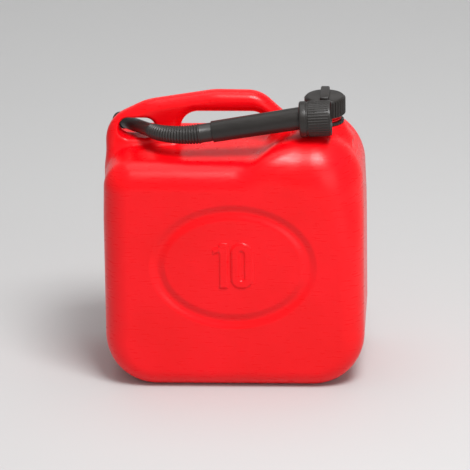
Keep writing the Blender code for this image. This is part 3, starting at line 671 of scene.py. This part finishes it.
    def distance(self, x: Field, y: Field, z: Field) -> Field:
        """Distance to the hollow body's skin at these points, negative inside the plastic."""
        skin = smooth_union(self._tank(x, y, z), self._handle(x, y, z), self.handle_fillet)
        radius = np.sqrt((x - self.neck_x) ** 2 + y * y)
        top, foot, drop = self.skirt
        lean = (foot - top) / drop
        cone = (radius - top - (self.shoulder_top - z) * lean) / math.hypot(1.0, lean)
        cone = np.maximum(np.maximum(cone, z - self.shoulder_top), self.shoulder_top - drop - z)
        skin = smooth_union(skin, cone, self.skirt_fillet)
        skin = skin + self._oval(x, z) * ramp(np.abs(y), *self.face_span)
        bore = np.maximum(radius - self.neck_bore, self.floor - z)
        hollow = np.minimum(skin + self.wall, bore)
        collar = np.maximum(radius - self.neck_collar, z - self.shoulder_top - self.neck_lap)
        outer = np.minimum(skin - self._number(x, z) * ramp(-y, *self.face_span),
                           np.maximum(collar, self.floor - z))
        return np.maximum(outer, -hollow)

    def _gradient(self, p: Field) -> Field:
        """Slope of the distance at points given as rows."""
        out = np.empty_like(p)
        for axis in range(3):
            move = np.zeros(3)
            move[axis] = self.step
            ahead, behind = (p + move).T, (p - move).T
            out[:, axis] = (self.distance(*ahead) - self.distance(*behind)) / (2.0 * self.step)
        return out

    def _settle(self, p: Field, times: int) -> Field:
        """Moves points on to the skin."""
        for _ in range(times):
            slope = self._gradient(p)
            size = np.maximum(np.sum(slope * slope, axis=1), 0.15)
            step = (self.distance(*p.T) / size)[:, None] * slope
            p = p - np.clip(step, -0.6 * self.cell, 0.6 * self.cell)
        return p

    def mesh(self) -> bpy.types.Mesh:
        """Builds the skin, inside and outside, as one closed mesh with its own normals."""
        half = np.array([0.5 * self.width, 0.5 * self.depth, 0.0])
        low = -half - self.margin
        high = half + (0.0, 0.0, self.handle_top) + self.margin
        axes = [np.arange(a, b, self.cell) for a, b in zip(low, high)]
        x, y, z = np.meshgrid(*axes, indexing="ij", sparse=True)
        values = np.ascontiguousarray(self.distance(x, y, z).astype(np.float32))
        grid = openvdb.FloatGrid(3.0 * self.cell)
        grid.copyFromArray(values)
        points, triangles, quads = grid.convertToPolygons(0.0, 0.0)
        points = self._settle(points.astype(np.float64) * self.cell + low, 2)
        mesh = bpy.data.meshes.new("skin")
        mesh.from_pydata((points * MM).tolist(), [], quads.tolist() + triangles.tolist())
        LOG.info("skin starts with %d faces", len(mesh.polygons))
        mesh = self._thinned(mesh, self.most_triangles / (2.0 * len(mesh.polygons)))
        count = len(mesh.vertices)
        flat = np.empty(count * 3)
        mesh.vertices.foreach_get("co", flat)
        points = self._settle(flat.reshape(-1, 3) / MM, 2)
        mesh.vertices.foreach_set("co", (points * MM).ravel())
        bm = bmesh.new()
        bm.from_mesh(mesh)
        bmesh.ops.remove_doubles(bm, verts=bm.verts, dist=self.merge)
        if bm.calc_volume(signed=True) < 0.0:
            bmesh.ops.reverse_faces(bm, faces=bm.faces)
        bm.to_mesh(mesh)
        bm.free()
        flat = np.empty(len(mesh.vertices) * 3)
        mesh.vertices.foreach_get("co", flat)
        normals = self._gradient(flat.reshape(-1, 3) / MM)
        normals /= np.maximum(np.linalg.norm(normals, axis=1), 1e-6)[:, None]
        mesh.shade_smooth()
        mesh.normals_split_custom_set_from_vertices(normals.tolist())
        return mesh

    @staticmethod
    def _thinned(mesh: bpy.types.Mesh, ratio: float) -> bpy.types.Mesh:
        """Spends fewer faces where the skin is flat."""
        holder = bpy.data.objects.new("thinning", mesh)
        bpy.context.scene.collection.objects.link(holder)
        modifier = holder.modifiers.new("Thin", "DECIMATE")
        modifier.ratio = min(1.0, ratio)
        bpy.context.view_layer.update()
        result = bpy.data.meshes.new_from_object(
            holder.evaluated_get(bpy.context.evaluated_depsgraph_get()))
        bpy.data.objects.remove(holder, do_unlink=True)
        bpy.data.meshes.remove(mesh)
        return result

    def build(self, finishes: Finishes) -> None:
        """Builds the body and puts it in place of its node."""
        piece("body_skin", self.mesh(), finishes.red, "can", replaces=["can_body"], keep_normals=True)


# ---------------------------------------------------------------- neck and cap, in metres
@dataclass
class Neck:
    """Threaded neck with the bead that keeps the tamper ring, and the ring itself."""

    x: float = NECK_X * MM
    base: float = SHOULDER_TOP * MM
    bore: float = 0.0132
    root: float = 0.0156
    collar: float = 0.0165
    bead: float = 0.0173
    height: float = 0.0212
    bead_low: float = 0.0040
    bead_high: float = 0.0058
    thread_start: float = 0.0100
    pitch: float = 0.004
    turns: float = 2.0
    ridge: float = 0.0013
    crest: float = 0.0168
    ring_bore: float = 0.0169
    ring_radius: float = 0.0204
    ring_low: float = 0.0004
    ring_high: float = 0.0036
    ring_ribs: int = 24
    sink: float = 0.002             # how far the tube runs into the body

    def _neck(self, finishes: Finishes, threads: Generator) -> None:
        """Neck tube with its bead and its thread."""
        tube = lathe(rounded([
            (self.bore, self.height, 0.0), (self.bore + 0.0004, self.height, 0.0),
            (self.root, self.height, 0.0007), (self.root, self.bead_high, 0.0004),
            (self.bead, self.bead_high, 0.0005), (self.bead, self.bead_low, 0.0004),
            (self.collar, self.bead_low, 0.0002), (self.collar, -self.sink, 0.0),
            (self.bore, -self.sink, 0.0)]))
        thread = threads.run(Finish=finishes.red, Radius=self.crest - self.ridge, Section=self.ridge,
                             Turns=self.turns, Rise=self.pitch * self.turns, Start=self.thread_start)
        piece("neck", joined([tube, thread]), finishes.red, "can",
              place=Matrix.Translation((self.x, 0.0, self.base)), sharp=50.0)

    def _ring(self, finishes: Finishes, ribs: Generator) -> None:
        """Tamper ring with small ribs, loose round the collar."""
        band = lathe(rounded([
            (self.ring_bore, self.ring_high, 0.0), (self.ring_radius - 0.0008, self.ring_high, 0.0006),
            (self.ring_radius - 0.0004, self.ring_low, 0.0004), (self.ring_bore, self.ring_low, 0.0)]))
        notches = ribs.run(Finish=finishes.black, Count=self.ring_ribs, Radius=self.ring_radius - 0.0005,
                           Width=0.0016, Height=0.0005, Low=self.ring_low + 0.0004,
                           High=self.ring_high - 0.0007)
        piece("tamper_band", joined([band, notches]), finishes.black, "ring",
              place=Matrix.Translation((self.x, 0.0, self.base)), replaces=["tamper_ring"])

    def build(self, finishes: Finishes, ribs: Generator, threads: Generator) -> None:
        """Builds the neck and its ring."""
        self._neck(finishes, threads)
        self._ring(finishes, ribs)


@dataclass
class ScrewCap:
    """Two-part cap: a ribbed outer shell with a raised grip that turns round a threaded inner cap."""

    x: float = NECK_X * MM
    rim: float = 0.2856
    roof_under: float = 0.3036
    top: float = 0.3054
    radius: float = 0.0220
    rib: float = 0.0009
    ribs: int = 40
    wall: float = 0.0016
    edge: float = 0.0026
    lip: float = 0.0008
    grip_width: float = 0.0096
    grip_length: float = 0.0375
    grip_height: float = 0.0042
    inner_rim: float = 0.2868
    inner_radius: float = 0.0191
    inner_bore: float = 0.0177
    inner_under: float = 0.2999
    inner_top: float = 0.3017
    lug: float = 0.0007
    lugs: int = 6
    lug_ring: float = 0.0125
    lug_length: float = 0.0060
    lug_width: float = 0.0024

    def _lugs(self, low: float, high: float) -> bpy.types.Mesh:
        """Ring of short lugs between the two roofs."""
        bm = bmesh.new()
        for k in range(self.lugs):
            spin = Matrix.Rotation(2.0 * math.pi * k / self.lugs, 4, "Z")
            move = Matrix.Translation((self.lug_ring, 0.0, 0.5 * (low + high)))
            size = Matrix.Diagonal((self.lug_length, self.lug_width, high - low, 1.0))
            bmesh.ops.create_cube(bm, size=1.0, matrix=spin @ move @ size)
        return as_mesh(bm)

    def _shell(self, finishes: Finishes, ribs: Generator) -> None:
        """Outer shell with ribs and grip."""
        r, bore = self.radius - self.rib, self.radius - self.rib - self.wall
        top, under = self.top - self.rim, self.roof_under - self.rim
        shell = lathe(rounded([
            (0.0, top, 0.0), (0.55 * r, top, 0.0), (r, top, self.edge), (r, 0.0, 0.0004),
            (bore - self.lip, 0.0, 0.0003), (bore - self.lip, self.lip, 0.0002), (bore, self.lip, 0.0),
            (bore, under, 0.0006), (0.0, under, 0.0)], 6))
        knurl = ribs.run(Finish=finishes.black, Count=self.ribs, Radius=r, Width=0.0020, Height=self.rib,
                         Low=0.0008, High=top - self.edge + 0.0004)
        grip = rounded_block(Vector((self.grip_width, self.grip_length, self.grip_height + 0.001)),
                             Vector((0.0, 0.0, top + 0.5 * self.grip_height - 0.0005)), 0.0017, 4)
        piece("cap_shell", joined([shell, knurl, grip, self._lugs(under - self.lug, under + self.lug)]),
              finishes.black, "cap_shell", place=Matrix.Translation((self.x, 0.0, self.rim)),
              replaces=["cap_outer"])

    def _core(self, finishes: Finishes, threads: Generator) -> None:
        """Threaded inner cap."""
        top, under = self.inner_top - self.inner_rim, self.inner_under - self.inner_rim
        core = lathe(rounded([
            (0.0, top, 0.0), (self.inner_radius, top, 0.0005), (self.inner_radius, 0.0, 0.0003),
            (self.inner_bore, 0.0, 0.0003), (self.inner_bore, under, 0.0004), (0.0, under, 0.0)]))
        thread = threads.run(Finish=finishes.black, Radius=self.inner_bore + 0.00035, Section=0.0009,
                             Turns=2.0, Rise=0.008, Start=0.0012)
        piece("cap_core", joined([core, thread, self._lugs(top - self.lug, top + self.lug)]),
              finishes.black, "cap_threaded", place=Matrix.Translation((self.x, 0.0, self.inner_rim)),
              replaces=["cap_inner"])

    def build(self, finishes: Finishes, ribs: Generator, threads: Generator) -> None:
        """Builds both parts of the cap."""
        self._shell(finishes, ribs)
        self._core(finishes, threads)


# ---------------------------------------------------------------- spout, in metres
def joint(name: str) -> dict:
    """A joint of the frame by its name."""
    return next(j for j in frame["record"]["behaviour"]["joints"] if j["name"] == name)


@dataclass
class Spout:
    """Pouring spout: union nut, rigid tube, ribbed hose, nozzle and stopper."""

    tube_start: Vector = field(default_factory=lambda: Vector((-0.0220, -0.0465, 0.2803)))
    tube_rise: float = math.radians(9.5)
    tube_length: float = 0.10179
    tube_low: float = 0.0114
    tube_high: float = 0.0121
    tube_bore: float = 0.0094
    socket: float = 0.0104
    socket_depth: float = 0.0115
    flange: float = 0.0149
    flange_thick: float = 0.0025
    nut_radius: float = 0.0192
    nut_length: float = 0.0336
    nut_shoulder: float = 0.0030
    nut_hole: float = 0.0140
    nut_bore: float = 0.0177
    nut_collar: float = 0.0075
    nut_groove: float = 0.0018
    nut_ribs: int = 40
    nozzle_through: Vector = field(default_factory=lambda: Vector((-0.1046, 0.0, 0.2701)))
    nozzle_before: float = 0.030
    nozzle_behind: float = 0.037
    nozzle_radius: float = 0.0074
    nozzle_tip: float = 0.0070
    nozzle_bore: float = 0.0045
    spigot: float = 0.0055
    spigot_length: float = 0.0060
    stopper_reach: float = 0.0104
    stopper_roof: float = 0.0016
    stopper_wall: float = 0.0009
    gap: float = 0.0004
    hose_first: float = 0.0081
    hose_last: float = 0.0108
    hose_depth: float = 0.0011
    hose_ribs: int = 20
    hose_pull: float = 0.36
    collar_radius: float = 0.0100
    collar_shows: float = 0.0130
    collar_bore: float = 0.0086

    def __post_init__(self) -> None:
        """Takes the directions from the frame's joints."""
        self.nozzle_axis = -Vector(joint("spout_pull")["axis"]).normalized()
        self.tube_axis = Vector((math.cos(self.tube_rise), 0.0, math.sin(self.tube_rise)))
        self.nut_axis = Vector(joint("nut_turn")["axis"]).normalized()
        self.nut_face = Vector(joint("nut_turn")["pos_m"])
        self.nozzle_root = self.nozzle_through - self.nozzle_before * self.nozzle_axis
        self.collar_start = self.tube_start - self.collar_shows * self.tube_axis

    def _nut(self, finishes: Finishes, ribs: Generator, threads: Generator) -> None:
        """Union nut: a plain collar, a groove and a ribbed barrel."""
        r, rib = self.nut_radius, 0.0005
        start = self.nut_collar + self.nut_groove
        nut = lathe(rounded([
            (self.nut_bore, self.nut_length, 0.0003), (r - rib, self.nut_length, 0.0007),
            (r - rib, start, 0.0003), (r - 0.0012, start, 0.0003), (r - 0.0012, self.nut_collar, 0.0003),
            (r, self.nut_collar, 0.0007), (r, 0.0, 0.0022), (self.nut_hole, 0.0, 0.0006),
            (self.nut_hole, self.nut_shoulder, 0.0002), (self.nut_bore, self.nut_shoulder, 0.0003)], 5))
        knurl = ribs.run(Finish=finishes.black, Count=self.nut_ribs, Radius=r - rib, Width=0.0017,
                         Height=rib, Low=start + 0.0005, High=self.nut_length - 0.0022)
        thread = threads.run(Finish=finishes.black, Radius=self.nut_bore + 0.00035, Section=0.0009,
                             Turns=2.0, Rise=0.008, Start=0.0130)
        piece("union_nut", joined([nut, knurl, thread]), finishes.black, "nut",
              place=towards(self.nut_axis, self.nut_face), replaces=["spout_nut"])

    def _tube(self, finishes: Finishes) -> None:
        """Rigid tube with its socket and flange."""
        end, neck = self.tube_length, self.tube_length - self.flange_thick
        tube = lathe(rounded([
            (self.tube_bore, end, 0.0), (self.flange, end, 0.0004), (self.flange, neck, 0.0004),
            (self.tube_high, neck, 0.0008), (self.tube_low, 0.0, 0.0007), (self.socket, 0.0, 0.0003),
            (self.socket, self.socket_depth, 0.0), (self.tube_bore, self.socket_depth, 0.0)], 5))
        piece("rigid_tube", tube, finishes.black, "spout_back",
              place=towards(self.tube_axis, self.tube_start), replaces=["spout_tube"])

    def _hose_route(self, count: int = 80) -> list[Vector]:
        """Points from the nozzle to the collar along one smooth bend."""
        first, last = self.nozzle_root - self.gap * self.nozzle_axis, self.collar_start
        pull = self.hose_pull * (last - first).length
        second, third = first - pull * self.nozzle_axis, last - pull * self.tube_axis
        out = []
        for k in range(count + 1):
            t = k / count
            s = 1.0 - t
            out.append(s ** 3 * first + 3.0 * s * s * t * second + 3.0 * s * t * t * third + t ** 3 * last)
        return out

    def _hose(self, finishes: Finishes, bellows: Generator) -> None:
        """Ribbed hose with its plain collar, built in one fixed bend from the nozzle to the tube and riding
        on no body.
        """
        route = self._hose_route()
        line = bpy.data.meshes.new("route")
        line.from_pydata([tuple(p) for p in route], [(k, k + 1) for k in range(len(route) - 1)], [])
        ribbed = bellows.run(line, Finish=finishes.hose, Ribs=self.hose_ribs, First=self.hose_first,
                             Last=self.hose_last, Depth=self.hose_depth)
        end = self.collar_shows + self.socket_depth - self.gap
        collar = lathe(rounded([
            (self.collar_bore, end, 0.0), (self.collar_radius, end, 0.0004),
            (self.collar_radius, 0.0008, 0.0), (self.collar_radius + 0.0003, 0.0, 0.0003),
            (self.collar_radius - 0.0002, -0.0012, 0.0), (self.collar_bore, -0.0012, 0.0)], 4), 64)
        collar.transform(towards(self.tube_axis, self.collar_start))
        hose = piece("ribbed_hose", joined([ribbed, collar]), finishes.hose, None,
                     replaces=["spout_hose"], sharp=60.0)
        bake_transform(hose)

    def _nozzle(self, finishes: Finishes) -> None:
        """Nozzle with the spigot that holds the hose."""
        length = self.nozzle_before + self.nozzle_behind
        nozzle = lathe(rounded([
            (self.nozzle_bore, length, 0.0003), (self.nozzle_tip, length, 0.0004),
            (self.nozzle_radius - 0.0001, 0.0030, 0.0), (self.nozzle_radius, 0.0022, 0.0),
            (self.nozzle_radius, 0.0, 0.0004), (self.spigot, 0.0, 0.0002),
            (self.spigot, -self.spigot_length, 0.0004), (self.nozzle_bore, -self.spigot_length, 0.0)]), 64)
        piece("nozzle", nozzle, finishes.black, "spout_front",
              place=towards(self.nozzle_axis, self.nozzle_root), replaces=["spout_nozzle"])

    def _stopper(self, finishes: Finishes, ribs: Generator) -> None:
        """Stopper over the nozzle's tip, with small ribs to pull it by."""
        length = self.nozzle_before + self.nozzle_behind
        share = self.stopper_reach / length
        bore = self.nozzle_tip + share * (self.nozzle_radius - self.nozzle_tip) + self.gap
        outer = bore + self.stopper_wall
        roof = self.gap + self.stopper_roof
        cup = lathe(rounded([
            (0.0, roof, 0.0), (outer, roof, 0.0009), (outer, -self.stopper_reach, 0.0003),
            (bore, -self.stopper_reach, 0.0002), (bore, self.gap, 0.0), (0.0, self.gap, 0.0)], 5), 64)
        knurl = ribs.run(Finish=finishes.black, Count=20, Radius=outer - 0.0003, Width=0.0011, Height=0.0004,
                         Low=-self.stopper_reach + 0.0012, High=roof - 0.0012)
        piece("stopper", joined([cup, knurl]), finishes.black, "stopper",
              place=towards(self.nozzle_axis, self.nozzle_root + length * self.nozzle_axis),
              replaces=["nozzle_stopper"])

    def build(self, finishes: Finishes, ribs: Generator, threads: Generator, bellows: Generator) -> None:
        """Builds every part of the spout."""
        self._nut(finishes, ribs, threads)
        self._tube(finishes)
        self._hose(finishes, bellows)
        self._nozzle(finishes)
        self._stopper(finishes, ribs)


# ---------------------------------------------------------------- studio
@dataclass(frozen=True)
class Lamp:
    """A square soft light that faces the object."""

    name: str
    spot: tuple[float, float, float]
    size: float
    power: float

    def hang(self, target: Vector) -> None:
        """Adds the light to the scene, turned to a point."""
        data = bpy.data.lights.new(self.name, "AREA")
        data.shape = "SQUARE"
        data.size = self.size
        data.energy = self.power
        light = bpy.data.objects.new(self.name, data)
        light.location = self.spot
        light.rotation_euler = (Vector(self.spot) - target).to_track_quat("Z", "Y").to_euler()
        bpy.context.scene.collection.objects.link(light)


@dataclass
class Studio:
    """Pale floor, soft lights and the camera."""

    lamps: tuple[Lamp, ...] = (
        Lamp("key", (0.55, -1.0, 2.2), 0.9, 54.0),
        Lamp("fill", (1.6, -2.0, 0.9), 1.4, 10.5),
        Lamp("top", (0.0, 0.5, 2.4), 1.8, 15.0),
    )
    lit: Vector = field(default_factory=lambda: Vector((0.0, 0.0, 0.14)))
    rise: float = 21.0
    turn: float = 3.0
    lean: float = -0.8
    away: float = 6.0
    aim: Vector = field(default_factory=lambda: Vector((-0.0018, 0.0, 0.1451)))
    lens: float = 426.4
    floor_tone: float = 0.53
    world_tone: float = 0.62
    world_strength: float = 0.68
    paper_bend: float = 0.8
    paper_reach: float = 2.2
    paper_front: float = -4.0
    paper_height: float = 3.4
    paper_half: float = 5.0
    paper_steps: int = 16

    def _camera(self) -> None:
        """Camera in front of the broad face, above it and a little to the right."""
        rise, turn = math.radians(self.rise), math.radians(self.turn)
        back = Vector((math.sin(turn) * math.cos(rise), -math.cos(turn) * math.cos(rise), math.sin(rise)))
        data = bpy.data.cameras.new("camera")
        data.lens = self.lens
        data.sensor_width = 36.0
        data.clip_end = 30.0
        camera = bpy.data.objects.new("camera", data)
        camera.location = self.aim + self.away * back
        lean = Quaternion((0.0, 0.0, 1.0), math.radians(self.lean))
        camera.rotation_euler = (back.to_track_quat("Z", "Y") @ lean).to_euler()
        bpy.context.scene.collection.objects.link(camera)
        bpy.context.scene.camera = camera

    def _stage(self) -> None:
        """Floor that curves up into a backdrop."""
        n = Nodes("paper")
        n.link(n.between(n.noise(3.0, 2.0), (self.floor_tone,) * 3, (self.floor_tone * 0.985,) * 3),
               n.shader.inputs["Base Color"])
        n.shader.inputs["Roughness"].default_value = 0.95
        n.shader.inputs["Specular IOR Level"].default_value = 0.1
        bm = bmesh.new()
        bend, reach, steps = self.paper_bend, self.paper_reach, self.paper_steps
        line = [(self.paper_front, 0.0), (reach - bend, 0.0)]
        line += [(reach - bend + bend * math.sin(a), bend - bend * math.cos(a))
                 for a in (0.5 * math.pi * k / steps for k in range(1, steps + 1))]
        line.append((reach, self.paper_height))
        rows = [[bm.verts.new((x, y, z)) for y, z in line] for x in (-self.paper_half, self.paper_half)]
        for k in range(len(line) - 1):
            bm.faces.new((rows[0][k], rows[1][k], rows[1][k + 1], rows[0][k + 1]))
        mesh = as_mesh(bm, "paper")
        mesh.shade_smooth()
        mesh.materials.append(n.material)
        paper = bpy.data.objects.new("paper", mesh)
        bpy.context.scene.collection.objects.link(paper)

    def build(self) -> None:
        """Builds the studio."""
        self._camera()
        self._stage()
        for lamp in self.lamps:
            lamp.hang(self.lit)
        world = bpy.data.worlds.new("room")
        world.use_nodes = True
        world.node_tree.nodes["Background"].inputs["Color"].default_value = (self.world_tone,) * 3 + (1.0,)
        world.node_tree.nodes["Background"].inputs["Strength"].default_value = self.world_strength
        bpy.context.scene.world = world
        bpy.context.scene.view_settings.view_transform = "Standard"


# ---------------------------------------------------------------- whole object
def dress(node: str, material: bpy.types.Material) -> None:
    """Gives a node of the frame that stays in view its finish."""
    for slot in frame["nodes"][node].material_slots:
        slot.material = material
    LOG.info("%s keeps its shape", node)


def main() -> None:
    """Builds the whole object and its studio."""
    logging.basicConfig(level=logging.INFO, format="%(message)s")
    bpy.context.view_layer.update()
    finishes = Finishes.make()
    ribs, threads, bellows = rib_generator(), thread_generator(), bellows_generator()
    BlownBody().build(finishes)
    Neck().build(finishes, ribs, threads)
    ScrewCap().build(finishes, ribs, threads)
    Spout().build(finishes, ribs, threads, bellows)
    dress("cap_seal", finishes.foam)
    dress("spout_gasket", finishes.rubber)
    Studio().build()


if __name__ == "__main__":
    main()
